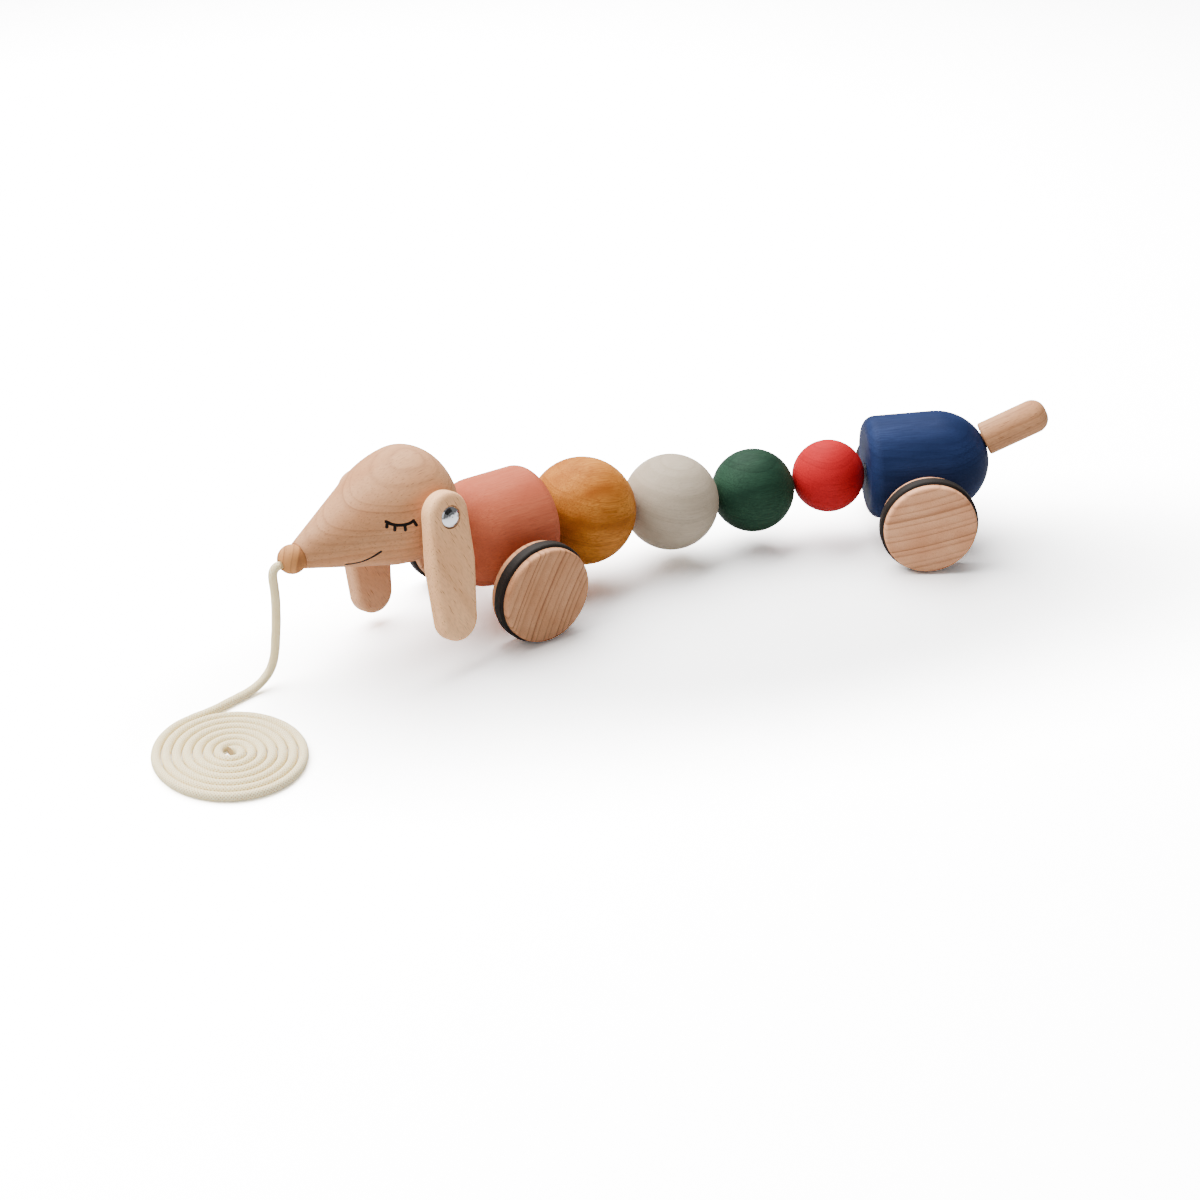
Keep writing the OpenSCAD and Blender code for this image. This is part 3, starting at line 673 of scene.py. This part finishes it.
# Wheels
# Discs turned from beech rod, so their faces show the yearly rings cut across. A wide
# groove holds the rubber ring, and the axle is glued in a blind hole.
wheel_r, wheel_half, wheel_ease, track = 19.4, 6.0, 1.2, 32.7
groove_r, groove_at, groove_half, wheel_hole_r, wheel_hole = 1.4, 19.2, 1.4, 4.0, 8.0
front_wheel_beech = ("#cf9971", "#be865e", "#6f3d20")
rear_wheel_beech = ("#e4ab81", "#d4966d", "#7e4a2b")


def wheel_profile():
    """Half section of a wheel from the bottom of its blind hole round to its outer face."""
    opening = degrees(acos((wheel_r - groove_at) / groove_r))
    hole_end = wheel_hole - wheel_half
    return ([(0, hole_end), (wheel_hole_r, hole_end), (wheel_hole_r, -wheel_half)]
            + arc(wheel_r - wheel_ease, wheel_ease - wheel_half, wheel_ease, -90, 0, 10)
            + arc(groove_at, -groove_half, groove_r, -opening, -180, 10)
            + arc(groove_at, groove_half, groove_r, 180, opening, 10)
            + arc(wheel_r - wheel_ease, wheel_half - wheel_ease, wheel_ease, 0, 90, 10)
            + [(0, wheel_half)])


# Each pair has its axle, the middle of its log, the width of its rings and its shades.
# The two logs of a pair are a little apart, so their wheels aren't alike.
wheel_sets = (("front", front_axle_at, front_side, (149, -30, -48), 2.8, front_wheel_beech),
              ("rear", rear_axle_at, rear_side, (134, -30, 196), 3.2, rear_wheel_beech))
for end, middle, side, heart, ring, colours in wheel_sets:
    for word, out in (("left", -side), ("right", side)):
        node = "%s_%s_wheel" % (end, word)
        disc = turned(node + "_disc", wheel_profile(), facing(middle + track * out, out),
                      steps=160)
        disc.data.materials.append(timber(node + "_beech", side, Vector(heart) + 3 * out, colours,
                                          ring=ring, line=0.85, fleck=0.45, sway=1.6, uneven=1.1))
        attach(disc, end + "_wheels")
        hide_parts(node)


# Tail
# A short beech dowel with a rounded tip, glued and pegged into the dome.
tail_r, tail_tip, tail_len, tail_ease = 7.2, 6.0, 28.5, 0.6
tail_from_face, tail_from_middle, tail_lift = 30, 22.686, radians(22.4)
tail_rise = rear_rise + tail_lift
tail_along = Vector((cos(tail_rise) * cos(rear_turn), cos(tail_rise) * sin(rear_turn),
                     sin(tail_rise)))
tail_foot = rear_face + tail_from_face * rear_along + tail_from_middle * tail_along
tail = turned("tail_dowel", [(0, 0), (tail_r - tail_ease, 0), (tail_r, tail_ease)]
              + arc(tail_r - tail_tip, tail_len - tail_tip, tail_tip, 0, 90, 16)
              + [(0, tail_len)], facing(tail_foot, tail_along))
tail.data.materials.append(timber("tail_beech", tail_along, (190, 0, -40), beech, ring=4,
                                  line=0.5, fleck=0.9))
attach(tail, "rear_body")
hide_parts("tail")


# Rubber rings
# Black moulded rubber rings, stretched into the wheels' grooves: near black and matt,
# with a faint dusty bloom.
dress(mottled("ring_rubber", "#0f0a07", "#1d1611", 220, 0.7, gloss=0.2, detail=3),
      "front_left_tyre", "front_right_tyre", "rear_left_tyre", "rear_right_tyre")


# Ear pins
# Domed steel pins with bright chrome plate, seated in shallow recesses.
def pin_chrome():
    """Chrome plate: mirror bright, with faint polishing marks."""
    material, tree, shader = new_material("pin_chrome")
    place = add(tree, "TexCoord")
    rub = add(tree, "TexNoise", {"Vector": place.outputs["Object"], "Scale": 900, "Detail": 2})
    gloss = add(tree, "MapRange", {"Value": rub.outputs["Fac"], "To Min": 0.05, "To Max": 0.14})
    tree.links.new(gloss.outputs["Result"], shader.inputs["Roughness"])
    shader.inputs["Base Color"].default_value = linear("#dcdee2")
    shader.inputs["Metallic"].default_value = 1
    return material


dress(pin_chrome(), "ear_pins")


# Ear washers
# Moulded nylon spacers behind the ears: milky, with a faint cloud in them.
dress(mottled("washer_nylon", "#e4dccd", "#f4efe6", 160, 0.45), "ear_washers")


# Elastic cord
# Elastic under a woven cover, slightly glossy. Its charcoal colour is painted shade, so it
# shows only as a shadow in the narrow gaps.
# Painted shade: the elastic is coloured near black so that the gaps read as shadow.
dress(mottled("elastic_painted_shade", "#2c2925", "#454039", 1500, 0.6), "front_cord", "rear_cord",
      "mustard_cord", "grey_cord", "green_cord", "red_cord", "front_knot", "rear_knot")


# Studio
# A pale table top with painted shade round the toy, a long soft light overhead and behind, a
# weak fill from the front, and a black cloth that only the chrome pins reflect.
def white_paper():
    """Paper that the camera sees brighter than it lights the toy, with painted shade near the toy
    and brightest far away.
    """
    material, tree, shader = new_material("white_paper")
    place = add(tree, "TexCoord")
    fibres = add(tree, "TexNoise", {"Vector": place.outputs["Object"], "Scale": 40})
    tint = add(tree, "MixRGB", {"Fac": fibres.outputs["Fac"], "Color1": linear("#f4f4f4"),
                                "Color2": linear("#f8f8f8")})
    path = add(tree, "LightPath")
    # Painted shade: an oval round the toy where the camera sees the paper darker, as a broad
    # shadow.
    oval = add(tree, "Mapping", {"Vector": place.outputs["Object"], "Location": (0.1, -0.05, 0),
                                 "Scale": (0.2, 0.08, 1)}, vector_type="TEXTURE")
    away = add(tree, "VectorMath", {0: oval.outputs["Vector"]}, operation="LENGTH")
    painted_shade_round_toy = add(tree, "MapRange", {"Value": away.outputs["Value"], "From Min": 0.45,
                                  "From Max": 1.6, "To Min": 1.8, "To Max": 5.4},
               interpolation_type="SMOOTHSTEP")
    gain = add(tree, "MapRange", {"Value": path.outputs["Is Camera Ray"], "To Min": 0.65,
                                  "To Max": painted_shade_round_toy.outputs["Result"]})
    light = add(tree, "VectorMath", {0: tint.outputs["Color"], "Scale": gain.outputs["Result"]},
                operation="SCALE")
    tree.links.new(light.outputs["Vector"], shader.inputs["Base Color"])
    shader.inputs["Roughness"].default_value = 0.9
    return material


def panel(name, half, material):
    """A square of the studio, in metres, which isn't part of the toy."""
    mesh = bmesh.new()
    bmesh.ops.create_grid(mesh, x_segments=1, y_segments=1, size=half)
    piece = put_mesh(name, mesh)
    piece.data.materials.append(material)
    return piece


panel("table_top", 6, white_paper())
cloth = panel("flag", 0.55, mottled("black_cloth", "#010101", "#050505", 300, 1))
cloth.location = (0.62, -0.85, 0.75)
cloth.rotation_euler = Vector((-0.55, 0.64, -0.54)).to_track_quat("Z", "Y").to_euler()
cloth.visible_camera = cloth.visible_diffuse = cloth.visible_shadow = False

world = bpy.data.worlds.new("studio")
world.use_nodes = True
world.node_tree.nodes["Background"].inputs["Color"].default_value = (1, 1, 1, 1)
world.node_tree.nodes["Background"].inputs["Strength"].default_value = 0.2
bpy.context.scene.world = world
for name, at, aim, width, height, power in (
        ("top_softbox", (-0.25, 0.5, 1.15), (0.05, 0, 0), 2.2, 1.3, 100),
        ("front_fill", (-0.6, -1.2, 0.7), (0.05, 0, 0.03), 1.2, 1.2, 4)):
    lamp = put(name, bpy.data.lights.new(name, "AREA"))
    lamp.data.shape = "RECTANGLE"
    lamp.data.size, lamp.data.size_y = width, height
    lamp.data.energy = power
    lamp.location = at
    lamp.rotation_euler = (Vector(aim) - Vector(at)).to_track_quat("-Z", "Y").to_euler()
